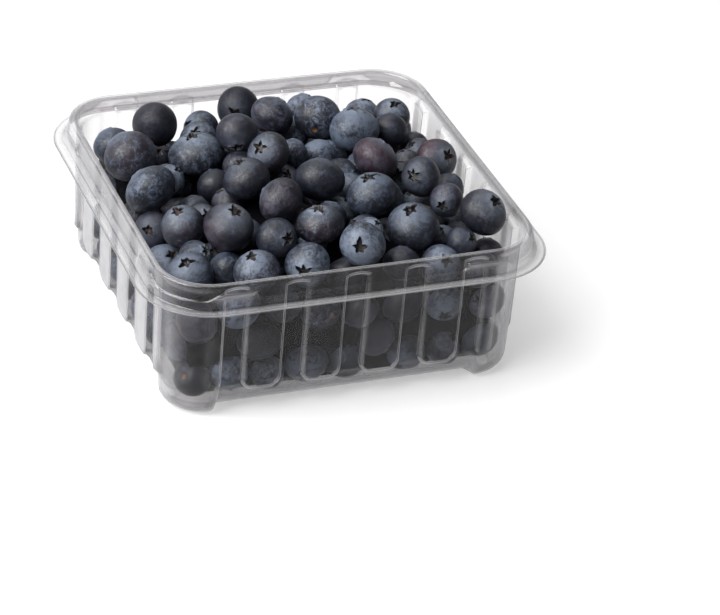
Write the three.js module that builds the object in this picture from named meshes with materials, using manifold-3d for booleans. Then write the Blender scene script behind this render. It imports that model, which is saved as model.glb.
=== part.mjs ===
// A clear plastic punnet heaped with blueberries.
// Millimetres, +Z up. The origin is the middle of the tray's underside, and the front is the -Y side.

import * as THREE from 'three';
import { mergeVertices } from 'three/addons/utils/BufferGeometryUtils.js';
import Module from 'manifold-3d';

const wasm = await Module();
wasm.setup();

// The tray, vacuum formed from one clear sheet.
const trayHeight = 48.5;
const sheet = 0.5;
const rimHalf = 60; // half of the width over the flat top of the rim
const lipHalf = 64.9; // half of the width over the lip that the rim's skirt ends in
const lipDrop = 7; // from the top of the rim down to the lip
const skirtHalf = 62.2; // where the skirt meets the lip
const ledgeHalf = 61.1; // where a small ledge runs along the skirt
const ledgeDrop = 4.6;
const ledgeStep = 0.6;
const lugDrop = 2.2; // the ledge is higher near the corners, where the lid snaps on
const lugFrom = 33;
const wallTopHalf = 55.8; // inner face of the walls, just under the rim
const wallFootHalf = 54.8; // inner face of the walls, at the tray's foot
const footRound = 9.5; // rounding between the wall and the base
const cornerFootRound = 4.5; // the same in the corners
const cornerStart = 43; // where the straight walls turn into the corners
const cornerOut = 0.6; // how far the corners stand out from the walls' inner face
const cornerSteps = 6;
const flatLimit = 0.002; // how far faces may be from one flat to be joined
const roundShare = 2 - Math.sqrt(3); // tan 15 degrees: a rounding's three flats touch its arc

// Every side has upright ribs. The wall stands out between them as flutes, which end above the tray's
// foot, and past the ribs' sloping heads it stands out all along. The outer ribs have a last narrow
// flute beside them, which runs out in the corner.
const ribsPerSide = 5;
const ribPitch = 18.9;
const ribHalf = 3.2;
const ribSide = 1.1; // width of the slope between a rib and a flute
const ribHead = 44.3;
const ribHeadSlope = 2.2;
const fluteDepthTop = 1.7;
const fluteDepthFoot = 2.5;
const fluteFoot = 9; // height of the flutes' sloping lower ends
const fluteSlope = 1.2;

// The berries.
const berryGap = 0.8; // clearance between a berry and the plastic
const flatness = 0.86; // height over width of the berries below the top ones
const smallest = 6; // radius of the berries below the top ones
const largest = 7.6;
const layers = 4;
const layerRise = 11.5;
const rowsPerLayer = 8;
const rowPitch = 13.4;
const scatter = 4;
const coverDepth = 9; // how far the lower berries stay under the top ones
const deepest = 7; // a top berry that lies deeper than this is in a gap, and the heap's surface passes over it
const sweeps = 160;
const sink = 0.2; // how far a berry sinks in the first sweep, and less in each later one
const closeness = 0.97; // flat berries lie a little closer than their radii
const cling = 2.5; // a berry as near as this to a wall lies against it
const reach = 4; // spare distance within which two berries count as neighbours
const overlapLimit = 1.5;

// The core under the berries that show, with posts under the top ones that it doesn't reach.
const coreInset = 7; // from the walls
const coreFloor = 4;
const coreSink = 4; // the core's top lies this far under the middles of the berries above it
const coreCells = 10;
const coreCover = 3; // a lower berry rises at least this far out of the core where it shows
const restShare = 0.8; // a top berry needs a post where the core ends below this share of its half height
const postShare = 0.5; // radius of a post as a share of the berry's
const postDepth = 8; // how far a post goes into the core
const swell = 1.05; // the berries with few sides are a little larger, as their flats lie inside the round form

// The berries that show on top: x, y, height of the middle above the rim, width, height over width, and
// the crown's lean from upright and its compass direction, in degrees.
const topBerries = [
  [-3, 49, -3, 14, 0.92, 80, -115], [20, 49, -7, 11, 0.9, 40, 60], [41, 48, -11, 12, 0.82, 20, 30],
  [-33, 41, -2, 15, 0.92, 65, 55], [-49, 36, -5, 13, 0.82, 50, 115], [-20, 36, -6, 12, 0.85, 45, -130],
  [4, 35, 0, 14, 0.85, 50, 35], [45, 34, -4, 12, 0.9, 20, -95], [18, 31, 0, 15, 0.9, 50, 60],
  [49, 25, -11, 10, 0.9, 45, 90], [-46, 23, -2, 17, 0.9, 55, 115], [-25, 23, -4, 18, 0.72, 15, 140],
  [40, 23, -3, 12, 0.9, 55, 55], [-13, 20, 4, 13, 0.93, 110, -105], [26, 19, 1, 16, 0.86, 15, 85],
  [14, 17, -6, 12, 0.85, 40, 65], [41, 10, -8, 10, 0.85, 25, 135], [-23, 9, -8, 12, 0.9, 55, 90],
  [26, 10, -8, 12, 0.85, 95, 170], [-7, 7, 3, 14, 0.8, 50, -150], [48, 2, -3, 14, 0.78, 55, -65],
  [-46, 2, -2, 17, 0.74, 60, 120], [-33, -1, -10, 11, 0.9, 40, 65], [26, 0, 1, 16, 0.74, 45, 15],
  [-18, -5, 2, 15, 0.82, 25, 155], [-49, -9, -10, 12, 0.85, 60, -125], [38, -9, -13, 13, 0.85, 30, 150],
  [3, -12, 3, 16, 0.8, 40, 65], [36, -14, 1, 13, 0.82, 65, -145], [-12, -20, 2, 15, 0.84, 80, 130],
  [-43, -20, -3, 14, 0.9, 20, -160], [17, -21, 1, 16, 0.81, 15, 175],
  [-34, -25, -13, 12, 0.85, 25, -115], [40, -26, -1, 11, 0.92, 85, -130],
  [44, -28, -14, 11, 0.9, 50, 75], [-32, -30, 1, 16, 0.86, 20, -60], [-4, -33, 0, 15, 0.74, 10, 130],
  [36, -34, -10, 10, 0.9, 20, -155], [25, -36, -3, 17, 0.84, 15, -155],
  [-19, -36, -1, 13, 0.88, 65, -65], [47, -37, 0, 15, 0.86, 35, -50], [51, -39, -14, 11, 0.9, 50, 75],
  [-48, -41, -7, 15, 0.86, 25, -135], [1, -44, -12, 12, 0.86, 45, 70], [18, -46, -9, 12, 0.86, 45, 70],
  [-29, -46, -4, 14, 0.86, 20, -170], [4, -48, 1, 14, 0.9, 70, -120],
  [-13, -49, -4, 14, 0.92, 80, -120], [3, 12, -1, 10, 0.9, 45, 50], [10, -39, 0, 8, 0.9, 35, -45],
  [3, -23, -4, 11, 0.85, 40, 60],
];

function wallHalf(height) {
  return wallFootHalf + (wallTopHalf - wallFootHalf) * height / trayHeight;
}

// The stations along one side: where each stands, and whether it's on a flute's face (1) or on a rib (0).
function sideStations() {
  const stations = [];
  for (let rib = 0; rib < ribsPerSide; rib++) {
    const middle = (rib - (ribsPerSide - 1) / 2) * ribPitch;
    if (rib > 0) stations.push({ along: middle - ribHalf - ribSide, face: 1 });
    stations.push({ along: middle - ribHalf, face: 0 }, { along: middle + ribHalf, face: 0 });
    if (rib < ribsPerSide - 1) stations.push({ along: middle + ribHalf + ribSide, face: 1 });
  }
  return stations;
}

// A ring round the tray. The flutes stand out from its half width by flute and the ribs by rib, the
// corners have a half width and a height of their own, and endFlute is how far their ends stand out.
function trayRing(ring) {
  const { half, height, flute = 0, rib = 0, cornerHalf = half, cornerHeight = height, endFlute = 0 } = ring;
  const points = [];
  for (let side = 0; side < 4; side++) {
    const place = (along, out, up) => {
      const turn = side * Math.PI / 2;
      points.push(new THREE.Vector3(along, -out, up).applyAxisAngle(new THREE.Vector3(0, 0, 1), turn));
    };
    for (const station of sideStations()) {
      const atLug = ring.lugHeight !== undefined && Math.abs(station.along) > lugFrom;
      place(station.along, half + (station.face ? flute : rib), atLug ? ring.lugHeight : height);
    }
    for (let step = 0; step <= cornerSteps; step++) {
      const isEnd = step === 0 || step === cornerSteps;
      const angle = step / cornerSteps * Math.PI / 2;
      const radius = cornerHalf + (isEnd ? endFlute : 0) - cornerStart;
      const up = isEnd && ring.lugHeight !== undefined ? ring.lugHeight : cornerHeight;
      place(cornerStart + radius * Math.sin(angle), cornerStart + radius * Math.cos(angle), up);
    }
  }
  return points;
}

// A closed solid through rings of equal length, from one flat end to the other.
function solidThroughRings(rings) {
  const count = rings[0].length;
  const positions = [];
  for (const ring of rings) {
    for (const point of ring) positions.push(point.x, point.y, point.z);
  }
  const index = [];
  for (let row = 0; row + 1 < rings.length; row++) {
    for (let step = 0; step < count; step++) {
      const a = row * count + step;
      const b = row * count + (step + 1) % count;
      index.push(a, b, a + count, b, b + count, a + count);
    }
  }
  const first = positions.length / 3;
  positions.push(0, 0, rings[0][0].z);
  positions.push(0, 0, rings[rings.length - 1][0].z);
  const last = (rings.length - 1) * count;
  for (let step = 0; step < count; step++) {
    const next = (step + 1) % count;
    index.push(first, next, step);
    index.push(first + 1, last + step, last + next);
  }
  const geometry = new THREE.BufferGeometry();
  geometry.setAttribute('position', new THREE.Float32BufferAttribute(positions, 3));
  geometry.setIndex(index);
  return geometry;
}

// The section of the tray from the middle of the base to the skirt's end, along the inner or outer
// face of the sheet: skin is 0 on the inner face and the sheet's thickness on the outer one.
function traySection(skin) {
  const base = sheet - skin;
  const top = trayHeight - skin;
  const foot = (across, up) => ({
    half: wallHalf(0) + skin - (footRound + skin) * across,
    height: base + (footRound + skin) * up,
    cornerHalf: wallHalf(0) + cornerOut + skin - (cornerFootRound + skin) * across,
    cornerHeight: base + (cornerFootRound + skin) * up,
  });
  const wall = (height, isFluted) => {
    const half = wallHalf(height) + skin;
    const flute = isFluted ? fluteDepthFoot + (fluteDepthTop - fluteDepthFoot) * height / trayHeight : 0;
    return { half, height, flute, cornerHalf: half + cornerOut, endFlute: Math.max(flute - cornerOut, 0) };
  };
  const rim = (half, drop) => ({ half: half - skin, height: top - drop });
  return [
    foot(1 - roundShare, 0),
    foot(roundShare, roundShare),
    foot(0, 1 - roundShare),
    wall(fluteFoot, false),
    wall(fluteFoot + fluteSlope, true),
    wall(ribHead, true),
    { half: wallHalf(ribHead + ribHeadSlope) + fluteDepthTop + skin, height: ribHead + ribHeadSlope },
    { half: wallTopHalf + fluteDepthTop + skin, height: top },
    rim(rimHalf, 0),
    { ...rim(ledgeHalf - ledgeStep, ledgeDrop), lugHeight: top - lugDrop },
    { ...rim(ledgeHalf, ledgeDrop + ledgeStep), lugHeight: top - lugDrop - ledgeStep },
    rim(skirtHalf, lipDrop),
  ];
}

// The manifold library joins the flat faces, which leaves fewer triangles.
function trayGeometry() {
  const inner = traySection(0);
  const outer = traySection(sheet);
  const lipTop = { half: lipHalf, height: trayHeight - lipDrop };
  const lipUnder = { ...lipTop, height: lipTop.height - sheet };
  const rings = [...outer, lipUnder, lipTop, ...inner.reverse()].map(trayRing);
  return geometryOf(solidOf(solidThroughRings(rings)).simplify(flatLimit));
}

// Draws numbers between 0 and 1, the same ones in every run.
let seed = 5;
function draw() {
  seed = (seed * 16807) % 2147483647;
  return seed / 2147483647;
}

// The heights of the top berries' middles, smoothed over the whole heap. It passes over the berries in
// its gaps, except where withGaps is set.
function surface(x, y, withGaps = false) {
  let sum = 0;
  let weights = 0;
  for (const [berryX, berryY, above] of topBerries) {
    if (above < -deepest && !withGaps) continue;
    const distance = (x - berryX) * (x - berryX) + (y - berryY) * (y - berryY);
    const weight = 1 / ((distance + 20) * (distance + 20));
    sum += weight * (trayHeight + above);
    weights += weight;
  }
  return sum / weights;
}

function layTopBerries() {
  return topBerries.map(([x, y, above, width, flat, lean, turn]) => ({
    x,
    y,
    z: trayHeight + above,
    radius: width / 2,
    flat,
    lean,
    turn,
    top: true,
  }));
}

// The lower berries start in scattered rows, layer on layer.
function layLowerBerries() {
  const berries = [];
  const place = (step) => (step - (rowsPerLayer - 1) / 2) * rowPitch + scatter * (draw() - 0.5);
  for (let layer = 0; layer < layers; layer++) {
    for (let row = 0; row < rowsPerLayer; row++) {
      for (let column = 0; column < rowsPerLayer; column++) {
        const radius = smallest + (largest - smallest) * draw();
        const x = place(column + ((row + layer) % 2 - 0.5) / 2);
        const y = place(row + (layer % 2 - 0.5) / 2);
        const z = sheet + radius + layer * layerRise + scatter * (draw() - 0.5);
        const lean = 180 * draw();
        const turn = 360 * draw();
        const isCovered = z < surface(x, y) - coverDepth;
        if (isCovered) berries.push({ x, y, z, radius, flat: flatness, lean, turn, top: false });
      }
    }
  }
  return berries;
}

// Keeps a berry clear of the floor, the walls, the rounding at the walls' foot and the rounded corners.
function keepInside(berry) {
  const level = Math.min(berry.z, trayHeight);
  const room = wallHalf(level) - berryGap - berry.radius;
  const hold = (value) => {
    const size = Math.abs(value) > room - cling ? room : Math.abs(value);
    return value < 0 ? -size : size;
  };
  berry.x = hold(berry.x);
  berry.y = hold(berry.y);
  berry.z = Math.max(berry.z, sheet + berryGap + berry.radius);
  for (const axis of ['x', 'y']) {
    const beyond = Math.abs(berry[axis]) - (wallFootHalf - footRound);
    const below = sheet + footRound - berry.z;
    if (beyond > 0 && below > 0) {
      const shrink = (footRound - berryGap - berry.radius) / Math.sqrt(beyond * beyond + below * below);
      if (shrink < 1) {
        berry[axis] = (berry[axis] < 0 ? -1 : 1) * (wallFootHalf - footRound + beyond * shrink);
        berry.z = sheet + footRound - below * shrink;
      }
    }
  }
  const beyondX = Math.abs(berry.x) - cornerStart;
  const beyondY = Math.abs(berry.y) - cornerStart;
  if (beyondX > 0 && beyondY > 0) {
    const shrink = (room - cornerStart) / Math.sqrt(beyondX * beyondX + beyondY * beyondY);
    if (shrink < 1) {
      berry.x = (berry.x < 0 ? -1 : 1) * (cornerStart + beyondX * shrink);
      berry.y = (berry.y < 0 ? -1 : 1) * (cornerStart + beyondY * shrink);
    }
  }
}

function neighbours(berries) {
  const pairs = [];
  for (let first = 0; first < berries.length; first++) {
    for (let second = first + 1; second < berries.length; second++) {
      const one = berries[first];
      const other = berries[second];
      const dx = one.x - other.x;
      const dy = one.y - other.y;
      const dz = one.z - other.z;
      const near = one.radius + other.radius + reach;
      if (!(one.top && other.top) && dx * dx + dy * dy + dz * dz < near * near) pairs.push([one, other]);
    }
  }
  return pairs;
}

function pushApart(one, other) {
  const dx = one.x - other.x;
  const dy = one.y - other.y;
  const dz = one.z - other.z;
  const apart = closeness * (one.radius + other.radius);
  const squared = dx * dx + dy * dy + dz * dz;
  if (squared >= apart * apart) return;
  const distance = Math.sqrt(squared);
  const push = (apart - distance) / distance;
  const shareOne = one.top ? 0 : (other.top ? 1 : 0.5);
  const shareOther = other.top ? 0 : (one.top ? 1 : 0.5);
  one.x += dx * push * shareOne;
  one.y += dy * push * shareOne;
  one.z += dz * push * shareOne;
  other.x -= dx * push * shareOther;
  other.y -= dy * push * shareOther;
  other.z -= dz * push * shareOther;
}

// Lets the lower berries sink and push each other aside, and leaves out the few that end up squeezed
// or pushed up among the top ones.
function settledBerries() {
  const berries = [...layTopBerries(), ...layLowerBerries()];
  let pairs = [];
  for (let sweep = 0; sweep < sweeps; sweep++) {
    if (sweep % 10 === 0) pairs = neighbours(berries);
    for (const [one, other] of pairs) pushApart(one, other);
    for (const berry of berries) {
      if (!berry.top) berry.z -= sink * (1 - sweep / sweeps);
      keepInside(berry);
    }
  }
  for (const [one, other] of neighbours(berries)) {
    const dx = one.x - other.x;
    const dy = one.y - other.y;
    const dz = one.z - other.z;
    const overlap = one.radius + other.radius - Math.sqrt(dx * dx + dy * dy + dz * dz);
    if (overlap > overlapLimit && !one.squeezed) (one.top ? other : one).squeezed = true;
  }
  const risen = (berry) => !berry.top && berry.z > surface(berry.x, berry.y) - deepest;
  return berries.filter((berry) => !berry.squeezed && !risen(berry));
}

// A solid of the manifold library out of a geometry, and back.
function solidOf(geometry) {
  const bare = new THREE.BufferGeometry();
  bare.setAttribute('position', geometry.getAttribute('position'));
  bare.setIndex(geometry.getIndex());
  const merged = mergeVertices(bare, 1e-4);
  return new wasm.Manifold(new wasm.Mesh({
    numProp: 3,
    vertProperties: new Float32Array(merged.getAttribute('position').array),
    triVerts: new Uint32Array(merged.getIndex().array),
  }));
}

function geometryOf(solid) {
  const mesh = solid.getMesh();
  const geometry = new THREE.BufferGeometry();
  geometry.setAttribute('position', new THREE.BufferAttribute(new Float32Array(mesh.vertProperties), 3));
  geometry.setIndex(new THREE.BufferAttribute(new Uint32Array(mesh.triVerts), 1));
  return geometry;
}

function coreTop(x, y) {
  return surface(x, y, true) - coreSink;
}

// A box that follows the walls, with a top that follows the heap.
function coreGeometry() {
  const geometry = new THREE.BoxGeometry(2, 2, 1, coreCells, coreCells, 1);
  const position = geometry.getAttribute('position');
  for (let i = 0; i < position.count; i++) {
    const isTop = position.getZ(i) > 0;
    const half = wallHalf(isTop ? trayHeight : coreFloor) - coreInset;
    const x = position.getX(i) * half;
    const y = position.getY(i) * half;
    position.setXYZ(i, x, y, isTop ? coreTop(x, y) : coreFloor);
  }
  return geometry;
}

// Whether a berry reaches out of the core's sides.
function isBeside(berry) {
  const inset = wallHalf(berry.z) - coreInset - berry.radius;
  return Math.abs(berry.x) > inset || Math.abs(berry.y) > inset;
}

// Whether a berry reaches out of the core anywhere.
function shows(berry) {
  const isAbove = berry.z + berry.radius * berry.flat > coreTop(berry.x, berry.y) + coreCover;
  return isAbove || isBeside(berry) || berry.z - berry.radius < coreFloor;
}

// A berry with few sides, flat along the axis through its crown. The top ones have the most sides, and
// the ones on the floor have the fewest.
function berrySolid(berry) {
  const lean = THREE.MathUtils.degToRad(berry.lean);
  const turn = THREE.MathUtils.degToRad(berry.turn);
  const radius = berry.radius * swell;
  let geometry = new THREE.DodecahedronGeometry(radius, 0);
  if (berry.top && berry.z > trayHeight - deepest) geometry = new THREE.IcosahedronGeometry(radius, 1);
  if (!berry.top && !isBeside(berry)) geometry = new THREE.IcosahedronGeometry(radius, 0);
  geometry.scale(1, 1, berry.flat).rotateY(lean).rotateZ(turn).translate(berry.x, berry.y, berry.z);
  return solidOf(geometry);
}

// Whether the core ends too low to hold a top berry, which then has a post.
function needsPost(berry) {
  return berry.top && coreTop(berry.x, berry.y) < berry.z - berry.radius * berry.flat * restShare;
}

function postSolid(berry) {
  const foot = coreTop(berry.x, berry.y) - postDepth;
  const geometry = new THREE.CylinderGeometry(berry.radius * postShare, berry.radius * postShare, berry.z - foot, 5);
  geometry.rotateX(Math.PI / 2).translate(berry.x, berry.y, (berry.z + foot) / 2);
  return solidOf(geometry);
}

function heapGeometry(berries) {
  const shown = berries.filter(shows).map(berrySolid);
  const posts = berries.filter(needsPost).map(postSolid);
  return geometryOf(wasm.Manifold.union([solidOf(coreGeometry()), ...posts, ...shown]));
}

const clearPlastic = new THREE.MeshStandardMaterial({
  color: 0xe6e9ec, roughness: 0.08, metalness: 0, transparent: true, opacity: 0.3,
});
const blueberry = new THREE.MeshStandardMaterial({ color: 0x2c3348, roughness: 0.55, metalness: 0 });

const tray = new THREE.Mesh(trayGeometry(), clearPlastic);
tray.name = 'tray';

const heap = new THREE.Mesh(heapGeometry(settledBerries()), blueberry);
heap.name = 'berries';

const punnet = new THREE.Group();
punnet.add(tray, heap);

export default punnet;
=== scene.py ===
import math
import bpy
import numpy as np
from mathutils import Matrix, Vector


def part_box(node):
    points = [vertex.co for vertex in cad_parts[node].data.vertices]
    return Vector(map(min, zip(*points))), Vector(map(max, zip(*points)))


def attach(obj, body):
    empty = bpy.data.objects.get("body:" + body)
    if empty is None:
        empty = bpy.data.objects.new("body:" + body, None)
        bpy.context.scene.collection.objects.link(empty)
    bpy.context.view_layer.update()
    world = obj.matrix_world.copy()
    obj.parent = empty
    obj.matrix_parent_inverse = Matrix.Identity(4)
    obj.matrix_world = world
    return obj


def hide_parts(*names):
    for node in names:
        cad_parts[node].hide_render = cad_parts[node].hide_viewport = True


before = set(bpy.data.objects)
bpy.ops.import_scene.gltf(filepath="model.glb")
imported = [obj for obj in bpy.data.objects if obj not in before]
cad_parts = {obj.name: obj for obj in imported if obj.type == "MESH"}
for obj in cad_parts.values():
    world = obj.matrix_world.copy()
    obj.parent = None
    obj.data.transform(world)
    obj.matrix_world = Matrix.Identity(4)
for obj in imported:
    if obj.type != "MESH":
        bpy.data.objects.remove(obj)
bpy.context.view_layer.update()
trayLow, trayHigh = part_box("tray")
mm = 0.001


def newObject(name, vertices, faces, material):
    mesh = bpy.data.meshes.new(name)
    mesh.from_pydata([tuple(v) for v in vertices], [], faces)
    mesh.update()
    mesh.shade_smooth()
    mesh.materials.append(material)
    item = bpy.data.objects.new(name, mesh)
    bpy.context.scene.collection.objects.link(item)
    return item


class Nodes:
    # a material's node tree with short calls for the nodes used here
    def __init__(self, name):
        self.material = bpy.data.materials.new(name)
        self.material.use_nodes = True
        self.tree = self.material.node_tree
        self.tree.nodes.clear()

    def add(self, kind, **settings):
        node = self.tree.nodes.new(kind)
        for key, value in settings.items():
            setattr(node, key, value)
        return node

    def put(self, socket, value):
        if isinstance(value, bpy.types.NodeSocket):
            self.tree.links.new(value, socket)
        elif isinstance(value, tuple) and len(value) == 3 and socket.type == "RGBA":
            socket.default_value = (*value, 1.0)
        else:
            socket.default_value = value

    def objectPlace(self):
        return self.add("ShaderNodeTexCoord").outputs["Object"]

    def noise(self, place, scale, detail=3.0, rough=0.55, warp=0.0):
        node = self.add("ShaderNodeTexNoise")
        self.put(node.inputs["Vector"], place)
        self.put(node.inputs["Scale"], scale)
        self.put(node.inputs["Detail"], detail)
        self.put(node.inputs["Roughness"], rough)
        self.put(node.inputs["Distortion"], warp)
        return node.outputs["Fac"]

    def math(self, operation, first, second=0.0, clamp=False):
        node = self.add("ShaderNodeMath", operation=operation, use_clamp=clamp)
        self.put(node.inputs[0], first)
        self.put(node.inputs[1], second)
        return node.outputs[0]

    def spread(self, value, low, high, toLow=0.0, toHigh=1.0):
        # a value between low and high becomes one between toLow and toHigh
        node = self.add("ShaderNodeMapRange", interpolation_type="SMOOTHSTEP")
        self.put(node.inputs["Value"], value)
        self.put(node.inputs["From Min"], low)
        self.put(node.inputs["From Max"], high)
        self.put(node.inputs["To Min"], toLow)
        self.put(node.inputs["To Max"], toHigh)
        return node.outputs["Result"]

    def blend(self, factor, first, second):
        node = self.add("ShaderNodeMix", data_type="RGBA")
        self.put(node.inputs["Factor"], factor)
        self.put(node.inputs[6], first)
        self.put(node.inputs[7], second)
        return node.outputs[2]

    def bump(self, height, distance):
        node = self.add("ShaderNodeBump")
        self.put(node.inputs["Height"], height)
        self.put(node.inputs["Distance"], distance)
        self.put(node.inputs["Strength"], 1.0)
        return node.outputs["Normal"]

    def marks(self, name):
        node = self.add("ShaderNodeAttribute", attribute_name=name)
        split = self.add("ShaderNodeSeparateColor")
        self.put(split.inputs["Color"], node.outputs["Color"])
        return split.outputs

    def finish(self, shader):
        self.put(self.add("ShaderNodeOutputMaterial").inputs["Surface"], shader)
        return self.material


def clearPlastic(values):
    # clear where it's seen straight on, and milky in the folds and where it's seen along its face; painted
    # shade darkens it in dark lines where it's seen edge-on and in its bends
    n = Nodes("clear_plastic")
    place = n.objectPlace()
    ripple = n.noise(place, values["rippleScale"], 2.0)
    cloud = n.noise(place, values["cloudScale"], 3.0)
    normal = n.bump(ripple, values["rippleDepth"])
    facing = n.add("ShaderNodeLayerWeight")
    n.put(facing.inputs["Blend"], 0.5)
    n.put(facing.inputs["Normal"], normal)
    along = facing.outputs["Facing"]
    fold, bend = n.marks("fold")[:2]
    # painted shade: a dark line where the sheet is seen edge-on, with more in its bends, darkens both the clear
    # and the milky parts
    edgeOnShade = n.math("POWER", along, values["edgePower"])
    rim = n.math("ADD", edgeOnShade, n.math("MULTIPLY", bend, values["bendShade"]), True)
    through = n.add("ShaderNodeBsdfTransparent")
    n.put(through.inputs["Color"], n.blend(rim, values["clear"], values["edge"]))
    hazeWithPaintedShade = n.blend(rim, values["hazeColour"], values["edge"])
    haze = n.add("ShaderNodeBsdfDiffuse")
    n.put(haze.inputs["Color"], hazeWithPaintedShade)
    milk = n.math("MULTIPLY", n.math("POWER", along, values["milkPower"]), values["milk"])
    milk = n.math("ADD", milk, n.math("MULTIPLY", fold, values["foldMilk"]))
    clouds = n.spread(cloud, 0.3, 0.7, *values["cloudRange"])
    milk = n.math("ADD", n.math("MULTIPLY", milk, clouds), values["haze"], True)
    glow = n.add("ShaderNodeBsdfTranslucent")
    n.put(glow.inputs["Color"], hazeWithPaintedShade)
    cloudy = n.add("ShaderNodeMixShader")
    n.put(cloudy.inputs["Fac"], values["lightThrough"])
    n.put(cloudy.inputs[1], haze.outputs[0])
    n.put(cloudy.inputs[2], glow.outputs[0])
    body = n.add("ShaderNodeMixShader")
    n.put(body.inputs["Fac"], milk)
    n.put(body.inputs[1], through.outputs[0])
    n.put(body.inputs[2], cloudy.outputs[0])
    gloss = n.add("ShaderNodeBsdfGlossy")
    n.put(gloss.inputs["Roughness"], values["rough"])
    n.put(gloss.inputs["Normal"], normal)
    # the same on both faces of the sheet
    mirror = n.math("POWER", along, values["mirrorPower"])
    mirror = n.math("MULTIPLY", mirror, values["edgeMirror"] - values["mirror"])
    mirror = n.math("ADD", mirror, values["mirror"])
    skin = n.add("ShaderNodeMixShader")
    n.put(skin.inputs["Fac"], mirror)
    n.put(skin.inputs[1], body.outputs[0])
    n.put(skin.inputs[2], gloss.outputs[0])
    return n.finish(skin.outputs[0])


skinPattern = {
    "broad": (130.0, 3.0, 0.6, 0.8),  # each noise has a scale, detail, roughness and warp
    "patches": (330.0, 5.0, 0.66, 1.4),
    "fine": (1700.0, 4.0, 0.75, 0.6),
    "scuffs": (300.0, 5.0, 0.6, 2.5),
    "scuffWidth": 0.05,
    "broadCover": 0.4,  # how much each one counts in where the bloom lies
    "patchCover": 0.6,
    "fineCover": 0.45,
    "haloCover": 0.12,
    "scuffMiddle": 0.8,
    "haloTint": 0.5,
    "patchRelief": 0.6,
    "fineRelief": 0.4,
    "scuffRelief": 0.15,
}


def berrySkin(name, values):
    n = Nodes(name)
    place = n.objectPlace()
    broad = n.noise(place, *skinPattern["broad"])
    patches = n.noise(place, *skinPattern["patches"])
    fine = n.noise(place, *skinPattern["fine"])
    lines = n.math("ABSOLUTE", n.math("SUBTRACT", n.noise(place, *skinPattern["scuffs"]), 0.5))
    scuffs = n.spread(lines, 0.0, skinPattern["scuffWidth"])
    pit, halo, stem = n.marks("marks")[:3]
    tone, wear, hue = n.marks("berry")[:3]
    # the dusty bloom, rubbed off in patches
    cover = n.math("ADD", n.math("MULTIPLY", broad, skinPattern["broadCover"]),
                   n.math("MULTIPLY", patches, skinPattern["patchCover"]))
    cover = n.math("ADD", cover, n.math("MULTIPLY", n.math("SUBTRACT", fine, 0.5), skinPattern["fineCover"]))
    cover = n.math("SUBTRACT", cover, n.math("MULTIPLY", wear, values["wear"]))
    unscuffed = n.math("SUBTRACT", scuffs, skinPattern["scuffMiddle"])
    cover = n.math("ADD", cover, n.math("MULTIPLY", unscuffed, values["scuffs"]))
    cover = n.math("ADD", cover, n.math("MULTIPLY", halo, skinPattern["haloCover"]))
    dusty = n.spread(cover, values["bare"], values["dusted"])
    skin = n.blend(n.math("MULTIPLY", n.spread(hue, 0.35, 1.0), n.spread(broad, 0.4, 0.6)),
                   values["skin"], values["skinRed"])
    bloom = n.blend(tone, values["bloom"], values["bloomPale"])
    colour = n.blend(dusty, skin, bloom)
    colour = n.blend(n.math("MULTIPLY", halo, skinPattern["haloTint"]), colour, values["haloColour"])
    brown = n.math("MULTIPLY", n.spread(patches, 0.5, 0.65), hue)
    crownInside = n.blend(brown, values["pitDark"], values["pitBrown"])
    colour = n.blend(pit, colour, crownInside)
    colour = n.blend(stem, colour, values["scar"])
    shader = n.add("ShaderNodeBsdfPrincipled")
    n.put(shader.inputs["Base Color"], colour)
    n.put(shader.inputs["Roughness"], n.spread(dusty, 0.0, 1.0, values["roughBare"], values["roughDusty"]))
    n.put(shader.inputs["Specular IOR Level"], values["specular"])
    relief = n.math("ADD", n.math("MULTIPLY", patches, skinPattern["patchRelief"]),
                    n.math("MULTIPLY", fine, skinPattern["fineRelief"]))
    relief = n.math("ADD", relief, n.math("MULTIPLY", scuffs, skinPattern["scuffRelief"]))
    n.put(shader.inputs["Normal"], n.bump(relief, values["relief"]))
    return n.finish(shader.outputs[0])


tray = {
    "height": trayHigh.z - trayLow.z,
    "lipHalf": 64.9 * mm,
    "sheet": 0.5 * mm,
    "rimHalf": 60.0 * mm,
    "lipDrop": 7.0 * mm,
    "skirtHalf": 62.2 * mm,
    "ledgeHalf": 61.1 * mm,
    "ledgeDrop": 4.6 * mm,
    "ledgeStep": 0.6 * mm,
    "lugDrop": 2.2 * mm,
    "lugFrom": 33.0 * mm,
    "lipMiddle": 63.6 * mm,
    "rimInnerBend": 1.1 * mm,
    "rimOuterBend": 0.9 * mm,
    "skirtBend": 0.5 * mm,
    "lipBend": 0.3 * mm,
    "fullBend": 0.3,  # radians from row to row at which a bend is shaded most
    "wallTopHalf": 55.8 * mm,
    "wallFootHalf": 54.8 * mm,
    "footRound": 9.5 * mm,
    "cornerFootRound": 4.5 * mm,
    "cornerStart": 43.0 * mm,
    "cornerOut": 0.6 * mm,
    "cornerSteps": 16,
    "ribPitch": 18.9 * mm,
    "ribHalf": 3.8 * mm,
    "ribSide": 1.1 * mm,
    "ribRound": 3.0 * mm,
    "ribHead": 45.4 * mm,
    "headSlope": 1.1 * mm,  # half the height of the slope at a rib's head
    "headArch": 0.9 * mm,
    "fluteDepthTop": 1.7 * mm,
    "fluteDepthFoot": 2.5 * mm,
    "fluteFoot": 9.6 * mm,
    "bulgeUntil": 16.0,  # degrees round the corner at which the last flute has faded out
}

# heights in millimetres of the wall's rows of points, closer together where a flute starts or ends
wallHeights = [10.3, 10.6, 10.9, 11.2, 11.5, 11.9, 12.4, 13.1, 14.2, 16, 19, 23, 27, 31, 35, 39, 42, 43.2,
               43.8, 44.3, 44.7, 45.0, 45.3, 45.6, 45.9, 46.2, 46.6, 47.1]

# distances in millimetres of a side's columns from the middle of a rib, closer together where its side turns
ribOffsets = [1.3, 2.5, 3.1, 3.4, 3.65, 3.9, 4.15, 4.4, 4.8, 5.6, 7.4]

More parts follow.
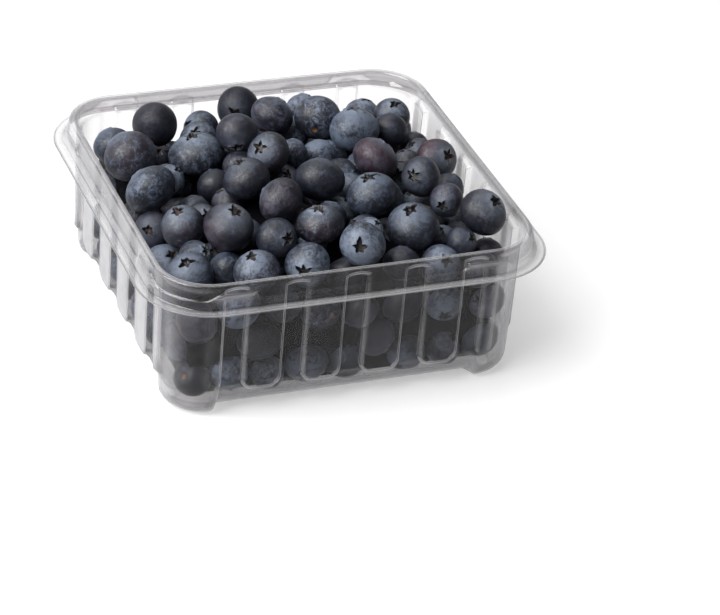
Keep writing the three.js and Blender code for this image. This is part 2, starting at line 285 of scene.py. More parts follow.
plastic = {
    "clear": (0.95, 0.943, 0.947),
    # colour of the painted shade where the sheet is seen edge-on and in its bends
    "edge": (0.2, 0.2, 0.21),
    "edgePower": 10.0,  # how narrow the painted dark line of shade is where the sheet is seen along its face
    # how much painted shade the sheet's bends get
    "bendShade": 0.2,
    "haze": 0.008,
    "milk": 1.2,
    "milkPower": 2.6,
    "foldMilk": 0.045,
    "lightThrough": 0.5,
    "cloudScale": 90.0,
    "cloudRange": (0.85, 1.15),
    "hazeColour": (0.84, 0.84, 0.85),
    "rough": 0.07,
    "mirror": 0.045,
    "edgeMirror": 0.45,
    "mirrorPower": 5.0,
    "rippleScale": 60.0,
    "rippleDepth": 0.08 * mm,
}


def smoothStep(value, low, high):
    share = min(max((value - low) / (high - low), 0.0), 1.0)
    return share * share * (3.0 - 2.0 * share)


def wallHalf(height):
    return tray["wallFootHalf"] + (tray["wallTopHalf"] - tray["wallFootHalf"]) * height / tray["height"]


def fluteOut(along, height):
    # how far the wall stands out here: between the ribs, and all along above their sloping heads
    count = math.floor(abs(along) / tray["ribPitch"] + 0.5)
    across = abs(abs(along) - count * tray["ribPitch"])
    side = tray["ribSide"]
    dx = tray["ribHalf"] + tray["ribRound"] - across
    dz = tray["fluteFoot"] + tray["ribRound"] - height
    outside = math.hypot(max(dx, 0.0), max(dz, 0.0)) + min(max(dx, dz), 0.0) - tray["ribRound"]
    between = 1.0 - smoothStep(outside, -side / 2, side / 2)
    arch = tray["headArch"] * (across / tray["ribHalf"]) ** 2
    head = smoothStep(height + arch, tray["ribHead"] - tray["headSlope"], tray["ribHead"] + tray["headSlope"])
    deeper = tray["fluteDepthTop"] - tray["fluteDepthFoot"]
    depth = tray["fluteDepthFoot"] + deeper * height / tray["height"]
    return depth * max(between, head)


def sideStations():
    # where the columns stand along a side
    sideEnd = tray["cornerStart"] - 0.2 * mm
    stations = [0.0]
    for rib in (0, 1, 2):
        middle = rib * tray["ribPitch"]
        if rib:
            stations += [middle - offset * mm for offset in reversed(ribOffsets)] + [middle]
        stations += [middle + offset * mm for offset in ribOffsets if middle + offset * mm < sideEnd]
    return [-along for along in reversed(stations[1:])] + stations


def arc(fromAngle, toAngle, steps):
    return [math.radians(fromAngle + (toAngle - fromAngle) * step / steps) for step in range(steps + 1)]


def traySection(along, turned):
    # the inner face from the middle of the base to the lip's end, as half width and height; turned is
    # 0 along the sides and 1 at the corners, which have a tighter foot and stand out a little
    top = tray["height"]
    rounding = tray["footRound"] + (tray["cornerFootRound"] - tray["footRound"]) * turned
    foot = wallHalf(0.0) + tray["cornerOut"] * turned
    section = [(foot * share, tray["sheet"]) for share in (0.25, 0.5, 0.75)]
    for angle in arc(0, 90, 8):
        section.append((foot - rounding + rounding * math.sin(angle),
                        tray["sheet"] + rounding * (1 - math.cos(angle))))
    footEnd = section[-1][1]
    wallEnd = wallHeights[-1] * mm
    sideFoot = tray["sheet"] + tray["footRound"]
    for row in wallHeights:
        height = footEnd + (row * mm - sideFoot) * (wallEnd - footEnd) / (wallEnd - sideFoot)
        section.append((wallHalf(height) + tray["cornerOut"] * turned, height))
    wallRows = len(section)
    bend = tray["rimInnerBend"]
    edge = tray["wallTopHalf"] + tray["fluteDepthTop"]
    for angle in arc(10, 90, 5):
        section.append((edge + bend - bend * math.cos(angle), top - bend + bend * math.sin(angle)))
    bend = tray["rimOuterBend"]
    for angle in arc(90, 12, 5):
        section.append((tray["rimHalf"] - bend + bend * math.cos(angle), top - bend + bend * math.sin(angle)))
    lug = smoothStep(abs(along), tray["lugFrom"] - 0.8 * mm, tray["lugFrom"] + 0.8 * mm)
    ledge = tray["ledgeDrop"] + (tray["lugDrop"] - tray["ledgeDrop"]) * lug
    above = tray["ledgeHalf"] - tray["ledgeStep"]
    section.append((above - 0.05 * mm, top - ledge + 0.25 * mm))
    section.append((above + 0.08 * mm, top - ledge + 0.05 * mm))
    section.append((above + 0.35 * mm, top - ledge - 0.08 * mm))
    section.append((tray["ledgeHalf"] - 0.05 * mm, top - ledge - 0.2 * mm))
    section.append((tray["ledgeHalf"], top - ledge - 0.4 * mm))
    bend = tray["skirtBend"]
    drop = tray["lipDrop"]
    section.append((tray["skirtHalf"] - bend - 0.15 * mm, top - drop + 1.0 * mm))
    for angle in arc(180, 270, 4):
        section.append((tray["skirtHalf"] + bend * math.cos(angle),
                        top - drop + bend + bend * math.sin(angle)))
    section.append((tray["lipMiddle"], top - drop))
    bend = tray["lipBend"]
    for angle in arc(90, 0, 3):
        section.append((tray["lipHalf"] - bend + bend * math.cos(angle),
                        top - drop - bend + bend * math.sin(angle)))
    return section, wallRows


def traySide(along, turn):
    # one column of points up a straight side
    turned = smoothStep(abs(along), 41.0 * mm, tray["cornerStart"])
    section, wallRows = traySection(along, turned)
    column = []
    for row, (half, height) in enumerate(section):
        out = half
        if row < wallRows:
            out += max(fluteOut(along, height) - tray["cornerOut"] * turned, 0.0)
        column.append(turn @ Vector((along * min(half / (50 * mm), 1.0), -out, height)))
    return column


def trayCorner(share, turn):
    # one column of points up a corner, which starts and ends at the straight sides
    angle = share * math.pi / 2
    fromSide = min(share, 1 - share)
    lug = smoothStep(1 - fromSide, 0.8, 0.97)
    section, wallRows = traySection(0.0, 1.0)
    lugged = traySection(tray["cornerStart"], 1.0)[0]
    fade = 1.0 - smoothStep(fromSide * 90, 2.0, tray["bulgeUntil"])
    column = []
    for row, (half, height) in enumerate(section):
        half += (lugged[row][0] - half) * lug
        height += (lugged[row][1] - height) * lug
        if row < wallRows:
            rise = smoothStep(height, tray["ribHead"] - 2.0 * mm, tray["ribHead"] + 1.5 * mm)
            flute = max(fluteOut(tray["cornerStart"], height) - tray["cornerOut"], 0.0)
            half += flute * max(fade, rise)
        start = tray["cornerStart"] * min(half / (50 * mm), 1.0)
        radius = max(half - start, 0.0)
        point = Vector((start + radius * math.sin(angle), -start - radius * math.cos(angle), height))
        column.append(turn @ point)
    return column


def trayRings():
    # one list of points round the tray for each row of the section
    columns = []
    for side in range(4):
        turn = Matrix.Rotation(side * math.pi / 2, 3, "Z")
        columns += [traySide(along, turn) for along in sideStations()]
        columns += [trayCorner(step / tray["cornerSteps"], turn) for step in range(tray["cornerSteps"] + 1)]
    return [list(row) for row in zip(*columns)]


def buildTray():
    rings = np.array([[tuple(point) for point in ring] for ring in trayRings()])
    rows, count = rings.shape[:2]
    around = np.roll(rings, -1, 1) - np.roll(rings, 1, 1)
    outward = np.gradient(rings, axis=0)
    normals = np.cross(outward, around)
    lengths = np.linalg.norm(normals, axis=2, keepdims=True)
    normals /= np.maximum(lengths, 1e-12)
    outer = rings - normals * tray["sheet"]
    outer[:, :, 2] = np.maximum(outer[:, :, 2], 0.0)
    lengthwise = around[-1] / np.linalg.norm(around[-1], axis=1, keepdims=True)
    fold = np.abs((normals * lengthwise[None]).sum(2))
    steps = np.diff(rings, axis=0)
    steps /= np.maximum(np.linalg.norm(steps, axis=2, keepdims=True), 1e-12)
    bend = np.zeros_like(fold)
    turning = np.arccos(np.clip((steps[1:] * steps[:-1]).sum(2), -1, 1))
    bend[1:-1] = np.clip(turning / tray["fullBend"], 0, 1)
    marks = np.stack([fold, bend, 0 * fold, 0 * fold + 1], 2).ravel()
    vertices = [tuple(p) for p in rings.reshape(-1, 3)] + [tuple(p) for p in outer.reshape(-1, 3)]
    faces = []
    shift = rows * count
    for row in range(rows - 1):
        for step in range(count):
            a = row * count + step
            b = row * count + (step + 1) % count
            faces.append((a, a + count, b + count, b))
            faces.append((a + shift, b + shift, b + count + shift, a + count + shift))
    last = (rows - 1) * count
    for step in range(count):
        after = (step + 1) % count
        faces.append((last + step, last + step + shift, last + after + shift, last + after))
    faces.append(tuple(range(count)))
    faces.append(tuple(reversed(range(shift, shift + count))))
    item = newObject("clear_tray", vertices, faces, clearPlastic(plastic))
    layer = item.data.attributes.new("fold", "FLOAT_COLOR", "POINT")
    layer.data.foreach_set("color", np.concatenate([marks, marks]))
    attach(item, "root")
    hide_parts("tray")
    return item


trayPiece = buildTray()
print("tray", len(trayPiece.data.polygons), "faces")


# where the berries lie, in millimetres and by the same steps as in the CAD part
heap = {
    "trayHeight": 48.5,
    "sheet": 0.5,
    "wallTopHalf": 55.8,
    "wallFootHalf": 54.8,
    "footRound": 9.5,
    "cornerStart": 43,
    "berryGap": 0.8,
    "flatness": 0.86,
    "smallest": 6,
    "largest": 7.6,
    "layers": 4,
    "layerRise": 11.5,
    "rowsPerLayer": 8,
    "rowPitch": 13.4,
    "scatter": 4,
    "coverDepth": 9,
    "deepest": 7,
    "sweeps": 160,
    "sink": 0.2,
    "closeness": 0.97,
    "cling": 2.5,
    "reach": 4,
    "overlapLimit": 1.5,
    "coreInset": 7,
    "coreFloor": 4,
    "coreSink": 10,
    "coreCells": 10,
    "gapStep": 1.5,
    "gapSunk": (6, 8, 10),  # how far below the heap's surface the middles may lie
    "gapRoom": 3.6,
    "gapOverlap": 1.2,
    "gapLargest": 6.4,
    "seed": 5,
    "gapLean": (20, 60),  # least lean of a gap berry's crown and how much may be added, in degrees
    "gapFlat": 0.88,
}

# x, y, the middle's height above the rim, width, height over width, the crown's lean and direction, the look
topBerries = [
    (-3, 49, -3, 14, 0.92, 80, -115, "bare"), (20, 49, -7, 11, 0.9, 40, 60, "dusty"),
    (41, 48, -11, 12, 0.82, 20, 30, "dusty"), (-33, 41, -2, 15, 0.92, 65, 55, "bare"),
    (-49, 36, -5, 13, 0.82, 50, 115, "dusty"), (-20, 36, -6, 12, 0.85, 45, -130, "dusty"),
    (4, 35, 0, 14, 0.85, 50, 35, "dusty"), (45, 34, -4, 12, 0.9, 20, -95, "dusty"),
    (18, 31, 0, 15, 0.9, 80, 62, "dusty"), (49, 25, -11, 10, 0.9, 45, 90, "dark"),
    (-46, 23, -2, 17, 0.9, 55, 115, "dusty"), (-25, 23, -4, 18, 0.72, 15, 140, "dusty"),
    (40, 23, -3, 12, 0.9, 55, 55, "dark"), (-13, 20, 4, 13, 0.93, 110, -105, "dark"),
    (26, 19, 1, 16, 0.86, 15, 85, "dusty"), (14, 17, -6, 12, 0.85, 40, 65, "dusty"),
    (41, 10, -8, 10, 0.85, 25, 135, "dark"), (-23, 9, -8, 12, 0.9, 55, 90, "dark"),
    (26, 10, -8, 12, 0.85, 95, 170, "dusty"), (-7, 7, 3, 14, 0.8, 50, -150, "dusty"),
    (48, 2, -3, 14, 0.78, 55, -65, "purple"), (-46, 2, -2, 17, 0.74, 60, 120, "dusty"),
    (-33, -1, -10, 11, 0.9, 40, 65, "dark"), (26, 0, 1, 16, 0.74, 45, 15, "purple"),
    (-18, -5, 2, 15, 0.82, 25, 155, "dark"), (-49, -9, -10, 12, 0.85, 60, -125, "dark"),
    (38, -9, -13, 13, 0.85, 30, 150, "dusty"), (3, -12, 3, 16, 0.8, 40, 65, "dark"),
    (36, -14, 1, 13, 0.82, 65, -145, "dark"), (-12, -20, 2, 15, 0.84, 80, 130, "purple"),
    (-43, -20, -3, 14, 0.9, 20, -160, "dusty"), (17, -21, 1, 16, 0.81, 15, 175, "dusty"),
    (-34, -25, -13, 12, 0.85, 25, -115, "dark"), (40, -26, -1, 11, 0.92, 85, -130, "dark"),
    (44, -28, -14, 11, 0.9, 50, 75, "dark"), (-32, -30, 1, 16, 0.86, 20, -60, "purple"),
    (-4, -33, 0, 15, 0.74, 10, 130, "dusty"), (36, -34, -10, 10, 0.9, 20, -155, "dusty"),
    (25, -36, -3, 17, 0.84, 15, -155, "dusty"), (-19, -36, -1, 13, 0.88, 65, -65, "dark"),
    (47, -37, 0, 15, 0.86, 35, -50, "purple"), (51, -39, -14, 11, 0.9, 50, 75, "dark"),
    (-48, -41, -7, 15, 0.86, 25, -135, "dusty"), (1, -44, -12, 12, 0.86, 45, 70, "dark"),
    (18, -46, -9, 12, 0.86, 45, 70, "dark"), (-29, -46, -4, 14, 0.86, 20, -170, "dusty"),
    (4, -48, 1, 14, 0.9, 70, -120, "dusty"), (-13, -49, -4, 14, 0.92, 80, -120, "dusty"),
    (3, 12, -1, 10, 0.9, 45, 50, "dusty"), (10, -39, 0, 8, 0.9, 35, -45, "dusty"),
    (3, -23, -4, 11, 0.85, 40, 60, "dusty"),
]


class Draws:
    # numbers between 0 and 1, the same ones in every run
    def __init__(self, seed):
        self.seed = seed

    def next(self):
        self.seed = (self.seed * 16807) % 2147483647
        return self.seed / 2147483647


draws = Draws(heap["seed"])


def heapWallHalf(height):
    return heap["wallFootHalf"] + (heap["wallTopHalf"] - heap["wallFootHalf"]) * height / heap["trayHeight"]


def surface(x, y, withGaps=False):
    total = 0
    weights = 0
    for berry in topBerries:
        above = berry[2]
        if above < -heap["deepest"] and not withGaps:
            continue
        distance = (x - berry[0]) * (x - berry[0]) + (y - berry[1]) * (y - berry[1])
        weight = 1 / ((distance + 20) * (distance + 20))
        total += weight * (heap["trayHeight"] + above)
        weights += weight
    return total / weights


class Berry:
    def __init__(self, x, y, z, radius, flat, lean, turn, look=None):
        self.x, self.y, self.z, self.radius, self.flat = x, y, z, radius, flat
        self.lean, self.turn, self.look = lean, turn, look
        self.top = look is not None
        self.squeezed = False


def layTopBerries():
    berries = []
    for x, y, above, width, flat, lean, turn, look in topBerries:
        berries.append(Berry(x, y, heap["trayHeight"] + above, width / 2, flat, lean, turn, look))
    return berries


def layLowerBerries():
    berries = []
    last = heap["rowsPerLayer"] - 1

    def place(step):
        return (step - last / 2) * heap["rowPitch"] + heap["scatter"] * (draws.next() - 0.5)

    for layer in range(heap["layers"]):
        for row in range(heap["rowsPerLayer"]):
            for column in range(heap["rowsPerLayer"]):
                radius = heap["smallest"] + (heap["largest"] - heap["smallest"]) * draws.next()
                x = place(column + ((row + layer) % 2 - 0.5) / 2)
                y = place(row + (layer % 2 - 0.5) / 2)
                z = heap["sheet"] + radius + layer * heap["layerRise"]
                z += heap["scatter"] * (draws.next() - 0.5)
                lean = 180 * draws.next()
                turn = 360 * draws.next()
                if z < surface(x, y) - heap["coverDepth"]:
                    berries.append(Berry(x, y, z, radius, heap["flatness"], lean, turn))
    return berries


def keepOffRounding(across, height, radius):
    beyond = abs(across) - (heap["wallFootHalf"] - heap["footRound"])
    below = heap["sheet"] + heap["footRound"] - height
    if beyond > 0 and below > 0:
        shrink = (heap["footRound"] - heap["berryGap"] - radius) / math.sqrt(beyond * beyond + below * below)
        if shrink < 1:
            across = (-1 if across < 0 else 1) * (heap["wallFootHalf"] - heap["footRound"] + beyond * shrink)
            height = heap["sheet"] + heap["footRound"] - below * shrink
    return across, height


def keepInside(berry):
    level = min(berry.z, heap["trayHeight"])
    room = heapWallHalf(level) - heap["berryGap"] - berry.radius

    def hold(value):
        size = room if abs(value) > room - heap["cling"] else abs(value)
        return -size if value < 0 else size

    berry.x = hold(berry.x)
    berry.y = hold(berry.y)
    berry.z = max(berry.z, heap["sheet"] + heap["berryGap"] + berry.radius)
    berry.x, berry.z = keepOffRounding(berry.x, berry.z, berry.radius)
    berry.y, berry.z = keepOffRounding(berry.y, berry.z, berry.radius)
    start = heap["cornerStart"]
    beyondX = abs(berry.x) - start
    beyondY = abs(berry.y) - start
    if beyondX > 0 and beyondY > 0:
        shrink = (room - start) / math.sqrt(beyondX * beyondX + beyondY * beyondY)
        if shrink < 1:
            berry.x = (-1 if berry.x < 0 else 1) * (start + beyondX * shrink)
            berry.y = (-1 if berry.y < 0 else 1) * (start + beyondY * shrink)


def neighbours(berries):
    pairs = []
    for first, one in enumerate(berries):
        for other in berries[first + 1:]:
            dx = one.x - other.x
            dy = one.y - other.y
            dz = one.z - other.z
            near = one.radius + other.radius + heap["reach"]
            if not (one.top and other.top) and dx * dx + dy * dy + dz * dz < near * near:
                pairs.append((one, other))
    return pairs


def pushApart(one, other):
    dx = one.x - other.x
    dy = one.y - other.y
    dz = one.z - other.z
    apart = heap["closeness"] * (one.radius + other.radius)
    squared = dx * dx + dy * dy + dz * dz
    if squared >= apart * apart:
        return
    distance = math.sqrt(squared)
    push = (apart - distance) / distance
    shareOne = 0 if one.top else (1 if other.top else 0.5)
    shareOther = 0 if other.top else (1 if one.top else 0.5)
    one.x += dx * push * shareOne
    one.y += dy * push * shareOne
    one.z += dz * push * shareOne
    other.x -= dx * push * shareOther
    other.y -= dy * push * shareOther
    other.z -= dz * push * shareOther


def settledBerries():
    berries = layTopBerries() + layLowerBerries()
    pairs = []
    for sweep in range(heap["sweeps"]):
        if sweep % 10 == 0:
            pairs = neighbours(berries)
        for one, other in pairs:
            pushApart(one, other)
        for berry in berries:
            if not berry.top:
                berry.z -= heap["sink"] * (1 - sweep / heap["sweeps"])
            keepInside(berry)
    for one, other in neighbours(berries):
        dx = one.x - other.x
        dy = one.y - other.y
        dz = one.z - other.z
        overlap = one.radius + other.radius - math.sqrt(dx * dx + dy * dy + dz * dz)
        if overlap > heap["overlapLimit"] and not one.squeezed:
            squeezed = other if one.top else one
            squeezed.squeezed = True
    return [berry for berry in berries
            if not berry.squeezed and (berry.top or berry.z <= surface(berry.x, berry.y) - heap["deepest"])]


def gapBerries(berries):
    # small ones half sunk between the berries on top, where a gap is left
    step = heap["gapStep"]
    reach = heap["wallTopHalf"] - heap["berryGap"]
    across = np.arange(-48, 49, step)
    places = np.array([(x, y, surface(x, y) - sunk)
                       for x in across for y in across for sunk in heap["gapSunk"]])
    room = reach - np.abs(places[:, :2]).max(1)
    corner = np.linalg.norm(np.maximum(np.abs(places[:, :2]) - heap["cornerStart"], 0), axis=1)
    room = np.minimum(room, reach - heap["cornerStart"] - corner)
    for berry in berries:
        room = np.minimum(room, np.linalg.norm(places - (berry.x, berry.y, berry.z), axis=1) - berry.radius)
    found = []
    while room.max() > heap["gapRoom"]:
        best = int(room.argmax())
        radius = min(room[best] + heap["gapOverlap"], heap["gapLargest"])
        x, y, z = places[best]
        lean = heap["gapLean"][0] + heap["gapLean"][1] * draws.next()
        berry = Berry(x, y, z, radius, heap["gapFlat"], lean, 360 * draws.next())
        berry.top = True
        found.append(berry)
        room = np.minimum(room, np.linalg.norm(places - places[best], axis=1) - radius)
    return found


berries = settledBerries()
fillers = gapBerries(berries)
berries += fillers
print("heap", len(berries), "berries,", len(fillers), "of them in gaps")


def coreTop(x, y):
    return surface(x, y, True) - heap["coreSink"]


def buildCore():
    # a box that follows walls and heap, low enough to leave the berries of the second layer in sight, coloured
    # near-black as painted shade of the heap's depths
    cells = heap["coreCells"]
    vertices, faces = [], []
    grids = []
    for isTop in (False, True):
        half = heapWallHalf(heap["trayHeight"] if isTop else heap["coreFloor"]) - heap["coreInset"]
        grid = []
        for row in range(cells + 1):
            for column in range(cells + 1):
                x = (2 * column / cells - 1) * half
                y = (2 * row / cells - 1) * half
                grid.append(len(vertices))
                vertices.append((x * mm, y * mm, (coreTop(x, y) if isTop else heap["coreFloor"]) * mm))
        grids.append(grid)
    low, high = grids
    width = cells + 1
    for row in range(cells):
        for column in range(cells):
            a = row * width + column
            faces.append((low[a], low[a + width], low[a + width + 1], low[a + 1]))
            faces.append((high[a], high[a + 1], high[a + width + 1]))
            faces.append((high[a], high[a + width + 1], high[a + width]))
    rim = list(range(cells)) + [row * width + cells for row in range(cells)]
    rim += [cells * width + cells - column for column in range(cells)]
    rim += [(cells - row) * width for row in range(cells)]
    for step, a in enumerate(rim):
        b = rim[(step + 1) % len(rim)]
        faces.append((low[a], low[b], high[b], high[a]))
    item = newObject("core", vertices, faces, berrySkin("core_painted_shade_skin", coreShadeLook))
    for name, value in (("marks", (0.0, 0.0, 0.0, 1.0)), ("berry", (0.3, 0.9, 0.5, 1.0))):
        layer = item.data.attributes.new(name, "FLOAT_COLOR", "POINT")
        layer.data.foreach_set("color", np.tile(value, len(vertices)))
    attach(item, "root")
    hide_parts("berries")
    print("core", len(faces), "faces")


berryShape = {
    "crownInner": 0.18,  # radius of the crown's opening between its points
    "crownPoint": 0.38,  # and at its points
    "crownUneven": 0.6,
    "crownRagged": 0.22,
    "crownFrom": 30,  # degrees from the crown's middle to where the plain skin starts
    "skinUntil": 172,
    "crownHeight": 0.035,
    "pointHeight": 0.02,
    "pitDepth": 0.16,
    "scarRadius": 0.13,
    "scarDepth": 0.035,
    "lumps": 0.025,
    "sidesTop": 50,
    "sidesLower": 25,
    "ringsTop": 16,
    "ringsLower": 9,
    "anyTurn": 6.28,  # a whole turn, near enough
    "dustyShare": 0.55,  # of the berries that have no look of their own
    "darkShare": 0.88,  # and of these and the dusty ones together
    "lookSeed": 77,
    "crownSeed": 31,
}

dustyLook = {
    "skin": (0.010, 0.011, 0.018),
    "skinRed": (0.022, 0.011, 0.018),
    "bloom": (0.064, 0.084, 0.127),
    "bloomPale": (0.148, 0.182, 0.245),
    "haloColour": (0.17, 0.2, 0.25),
    "pitDark": (0.006, 0.005, 0.006),
    "pitBrown": (0.075, 0.036, 0.02),
    "scar": (0.2, 0.09, 0.035),
    "bare": 0.365,
    "dusted": 0.585,
    "wear": 0.14,
    "scuffs": 0.12,
    "roughBare": 0.33,
    "roughDusty": 0.5,
    "specular": 0.5,
    "relief": 0.2 * mm,
}
darkLook = dict(dustyLook, bloom=(0.029, 0.038, 0.063), bloomPale=(0.066, 0.084, 0.125),
                haloColour=(0.09, 0.1, 0.125), bare=0.37, dusted=0.66)
bareLook = dict(darkLook, bloom=(0.018, 0.02, 0.028), bloomPale=(0.034, 0.036, 0.048),
                haloColour=(0.04, 0.045, 0.06), specular=0.3)
purpleLook = dict(dustyLook, skinRed=(0.042, 0.017, 0.027), bloom=(0.046, 0.045, 0.066),
                  bloomPale=(0.085, 0.086, 0.115), bare=0.4, dusted=0.6)
looks = {"dusty": dustyLook, "dark": darkLook, "bare": bareLook, "purple": purpleLook}
# near-black, darker than any berry's own colours: painted shade for the heap's depths seen between the berries
coreShadeLook = dict(darkLook, skin=(0.003, 0.003, 0.004), skinRed=(0.004, 0.003, 0.004),
                bloom=(0.004, 0.004, 0.006), bloomPale=(0.006, 0.006, 0.009), specular=0.05)


def crownEdge(angles, points, crownDraws):
    # how far the crown's opening reaches in each direction: uneven pointed lobes
    edge = np.full(len(angles), berryShape["crownInner"])
    for point in range(points):
        middle = (point + 0.25 * (crownDraws.next() - 0.5)) * 2 * math.pi / points
        length = berryShape["crownPoint"] * (1 + berryShape["crownUneven"] * (crownDraws.next() - 0.5))
        half = (0.42 + 0.16 * crownDraws.next()) * 2 * math.pi / points
        away = np.abs((angles - middle + math.pi) % (2 * math.pi) - math.pi) / half
        lobe = np.clip(1 - away, 0, 1) ** 1.25
        edge = np.maximum(edge, berryShape["crownInner"] + (length - berryShape["crownInner"]) * lobe)
    return edge * (1 + berryShape["crownRagged"] * np.array([crownDraws.next() - 0.5 for angle in angles]))


def berryTemplate(sides, points, fine, crownDraws):
    # one berry of radius 1 with its crown up: vertices, faces and marks (pit, halo and scar)
    flat = heap["flatness"]
    angles = np.arange(sides) / sides * 2 * math.pi
    crest = crownEdge(angles, points, crownDraws)
    tip = (crest - berryShape["crownInner"]) / (berryShape["crownPoint"] - berryShape["crownInner"])
    lift = berryShape["crownHeight"] + berryShape["pointHeight"] * tip

    def skinHeight(radius):
        return flat * np.sqrt(1 - radius ** 2)

    # share of the opening's radius, depth, lift, pit and halo
    crown = [
        (0.35, -berryShape["pitDepth"], 0.0, 1.0, 0.0),
        (0.7, -berryShape["pitDepth"] * 0.8, 0.0, 1.0, 0.0),
        (0.92, -berryShape["pitDepth"] * 0.4, 0.1, 1.0, 0.0),
        (1.0, 0.0, 0.9, 0.6, 0.6),
        (1.08, 0.0, 1.0, 0.0, 1.0),
    ]
    if not fine:
        crown = [crown[0], crown[2], crown[4]]
    rings, marks = [], []
    for share, down, up, pit, halo in crown:
        radius = crest * share
        rings.append(np.stack([radius * np.cos(angles), radius * np.sin(angles),
                               skinHeight(radius) + down + lift * up], 1))
        marks.append((pit, halo, 0.0))
    outer = math.sin(math.radians(berryShape["crownFrom"]))
    for share, up, halo in ((0.3, 0.5, 1.0), (0.65, 0.12, 0.85)) if fine else ():
        radius = crest * 1.08 + (outer - crest * 1.08) * share
        rings.append(np.stack([radius * np.cos(angles), radius * np.sin(angles),
                               skinHeight(radius) + lift * up], 1))
        marks.append((0.0, halo, 0.0))
    steps = berryShape["ringsTop"] if fine else berryShape["ringsLower"]
    fromCrown = berryShape["crownFrom"]
    for step in range(steps + 1):
        polar = math.radians(fromCrown + (berryShape["skinUntil"] - fromCrown) * step / steps)
        radius = math.sin(polar)
        rings.append(np.stack([radius * np.cos(angles), radius * np.sin(angles),
                               np.full(sides, flat * math.cos(polar))], 1))
        marks.append((0.0, max(0.0, 0.6 - step * 0.16), 0.0))
    scar = berryShape["scarRadius"]
    rings.append(np.stack([scar * 0.8 * np.cos(angles), scar * 0.8 * np.sin(angles),
                           np.full(sides, -flat * 0.99 + berryShape["scarDepth"])], 1))
    marks.append((0.0, 0.0, 1.0))
    vertices = np.concatenate([np.array([[0, 0, flat - berryShape["pitDepth"] * 0.9]])] + rings
                              + [np.array([[0, 0, -flat + berryShape["scarDepth"] * 1.2]])])
    flags = np.concatenate([[[1.0, 0.0, 0.0]]] + [np.tile(mark, (sides, 1)) for mark in marks]
                           + [[[0.0, 0.0, 1.0]]])
    faces = []
    for step in range(sides):
        faces.append((0, 1 + step, 1 + (step + 1) % sides))
    for row in range(len(rings) - 1):
        for step in range(sides):
            a = 1 + row * sides + step
            b = 1 + row * sides + (step + 1) % sides
            faces.append((a, a + sides, b + sides, b))
    last = 1 + (len(rings) - 1) * sides
    bottom = len(vertices) - 1
    for step in range(sides):
        faces.append((last + (step + 1) % sides, last + step, bottom))
    return vertices, faces, flags


def berryMesh(berry, template, lookDraws):
    # one berry in its place, a little uneven in its own way
    vertices, faces, flags = template
    points = vertices.copy()
    polar = np.sqrt(points[:, 0] ** 2 + points[:, 1] ** 2)
    angle = np.arctan2(points[:, 1], points[:, 0])
    lump = berryShape["lumps"]
    anyTurn = berryShape["anyTurn"]
    swell = 1 + lump * polar ** 2 * np.cos(2 * angle + anyTurn * lookDraws.next())
    swell += lump * 0.7 * polar ** 3 * np.cos(3 * angle + anyTurn * lookDraws.next())
    swell -= lump
    points[:, 0] *= swell
    points[:, 1] *= swell
    points[:, 2] *= berry.flat / heap["flatness"]
    points *= berry.radius * mm
    turn = Matrix.Rotation(math.radians(berry.turn), 3, "Z") @ Matrix.Rotation(math.radians(berry.lean), 3, "Y")
    turn = turn @ Matrix.Rotation(anyTurn * lookDraws.next(), 3, "Z")
    points = points @ np.array(turn).T + np.array((berry.x, berry.y, berry.z)) * mm
    person = (lookDraws.next(), lookDraws.next(), lookDraws.next())
    return points, faces, flags, np.tile(person, (len(points), 1))


def buildBerries():
    lookDraws = Draws(berryShape["lookSeed"])
    crownDraws = Draws(berryShape["crownSeed"])
    fineTemplates = [berryTemplate(berryShape["sidesTop"], points, True, crownDraws)
                     for points in (5, 6, 5, 6, 5, 5)]
    plainTemplates = [berryTemplate(berryShape["sidesLower"], points, False, crownDraws) for points in (5, 6)]
    groups = {name: [] for name in looks}
    for berry in berries:
        chance = lookDraws.next()
        rest = "dark" if chance < berryShape["darkShare"] else "purple"
        look = berry.look or ("dusty" if chance < berryShape["dustyShare"] else rest)
        templates = fineTemplates if berry.top else plainTemplates
        template = templates[int(lookDraws.next() * len(templates))]
        groups[look].append(berryMesh(berry, template, lookDraws))
    for look, parts in groups.items():
        vertices = np.concatenate([part[0] for part in parts])
        faces = []
        start = 0
        for points, partFaces, flags, person in parts:
            faces += [tuple(start + corner for corner in face) for face in partFaces]
            start += len(points)
        item = newObject(look + "_berries", vertices, faces, berrySkin(look + "_berry_skin", looks[look]))
        for name, column in (("marks", 2), ("berry", 3)):
            values = np.concatenate([part[column] for part in parts])
            layer = item.data.attributes.new(name, "FLOAT_COLOR", "POINT")
            layer.data.foreach_set("color", np.hstack([values, np.ones((len(values), 1))]).ravel())
        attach(item, "root")
        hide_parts("berries")
        print(look, len(parts), "berries", len(item.data.polygons), "faces")


buildBerries()
buildCore()


stage = {
    "floorHalf": 6.0,
    "floorColour": (0.62, 0.62, 0.62),
    "floorGlow": 0.42,
    "skyColour": (0.97, 0.98, 1.0),
    "skyStrength": 0.1,
    "horizon": (-0.1, 0.2),
    "lowFront": 0.2,  # what the clear walls mirror in place of the floor, in front and at the back
    "lowBack": 0.9,
    "lowTurn": (-0.3, 0.6),
    "lampAim": (0, 0, 0.03),
    "keyPlace": (-1.15, -0.15, 1.2),
    "keySize": 1.6,
    "keyPower": 58.0,
    "fillPlace": (0.9, -0.7, 0.7),
    "fillSize": 1.0,
    "fillPower": 0.5,
    "backPlace": (0.1, 1.0, 1.3),
    "backSize": 1.2,
    "backPower": 8.0,
}


def floorMaterial():
    n = Nodes("pale_floor")
    speckle = n.noise(n.objectPlace(), 40.0, 2.0)
    low = tuple(value * 0.985 for value in stage["floorColour"])
    shader = n.add("ShaderNodeBsdfPrincipled")
    n.put(shader.inputs["Base Color"], n.blend(speckle, low, stage["floorColour"]))
    n.put(shader.inputs["Roughness"], 0.9)
    n.put(shader.inputs["Specular IOR Level"], 0.1)
    n.put(shader.inputs["Emission Color"], stage["floorColour"])
    n.put(shader.inputs["Emission Strength"], stage["floorGlow"] / stage["floorColour"][0])
    return n.finish(shader.outputs[0])


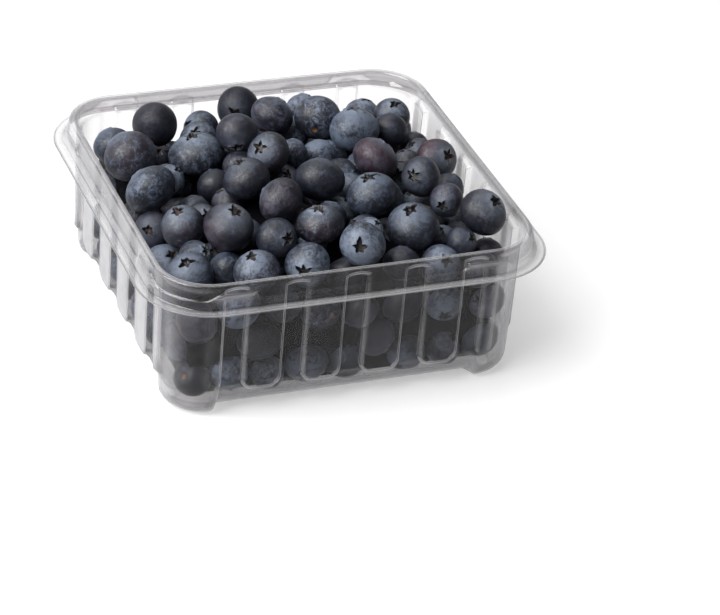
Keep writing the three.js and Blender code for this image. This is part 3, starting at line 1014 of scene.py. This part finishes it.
def addFloor():
    half = stage["floorHalf"]
    corners = [(-half, -half, 0), (half, -half, 0), (half, half, 0), (-half, half, 0)]
    floor = newObject("floor", corners, [(0, 1, 2, 3)], floorMaterial())
    floor.visible_glossy = False


def addLamp(name, place, size, power):
    lamp = bpy.data.lights.new(name, "AREA")
    lamp.size = size
    lamp.energy = power
    item = bpy.data.objects.new(name, lamp)
    item.location = place
    towards = Vector(stage["lampAim"]) - Vector(place)
    item.rotation_euler = towards.to_track_quat("-Z", "Y").to_euler()
    bpy.context.scene.collection.objects.link(item)


def addSky():
    # light from above, and below it the light that the clear walls mirror: little in front, more at the back
    world = bpy.data.worlds.new("studio")
    bpy.context.scene.world = world
    world.use_nodes = True
    nodes, links = world.node_tree.nodes, world.node_tree.links
    place = nodes.new("ShaderNodeTexCoord")
    split = nodes.new("ShaderNodeSeparateXYZ")
    links.new(place.outputs["Generated"], split.inputs[0])

    def between(value, low, high, toLow, toHigh):
        node = nodes.new("ShaderNodeMapRange")
        links.new(value, node.inputs["Value"])
        for name, number in (("From Min", low), ("From Max", high), ("To Min", toLow), ("To Max", toHigh)):
            if isinstance(number, float):
                node.inputs[name].default_value = number
            else:
                links.new(number, node.inputs[name])
        return node.outputs["Result"]

    below = between(split.outputs["Y"], *stage["lowTurn"], stage["lowFront"], stage["lowBack"])
    background = nodes["Background"]
    background.inputs["Color"].default_value = (*stage["skyColour"], 1.0)
    strength = between(split.outputs["Z"], *stage["horizon"], below, stage["skyStrength"])
    links.new(strength, background.inputs["Strength"])


view = {
    "turn": 23.07,  # degrees from the front towards the left
    "rise": 31.81,
    "roll": 5.18,
    "distance": 0.9487,
    "aim": (0.0132, -0.0288, 0.0141),
    "lens": 153.36,
}


def addCamera():
    turn, rise = math.radians(view["turn"]), math.radians(view["rise"])
    back = Vector((-math.sin(turn) * math.cos(rise), -math.cos(turn) * math.cos(rise), math.sin(rise)))
    lens = bpy.data.cameras.new("camera")
    lens.sensor_width = 36.0
    lens.lens = view["lens"]
    camera = bpy.data.objects.new("camera", lens)
    camera.location = Vector(view["aim"]) + back * view["distance"]
    level = back.to_track_quat("Z", "Y")
    camera.rotation_mode = "QUATERNION"
    camera.rotation_quaternion = level @ Matrix.Rotation(math.radians(view["roll"]), 3, "Z").to_quaternion()
    bpy.context.scene.collection.objects.link(camera)
    bpy.context.scene.camera = camera


addFloor()
addSky()
addLamp("key", stage["keyPlace"], stage["keySize"], stage["keyPower"])
addLamp("fill", stage["fillPlace"], stage["fillSize"], stage["fillPower"])
addLamp("back", stage["backPlace"], stage["backSize"], stage["backPower"])
addCamera()
bpy.context.scene.view_settings.view_transform = "Standard"
print("stage ready")
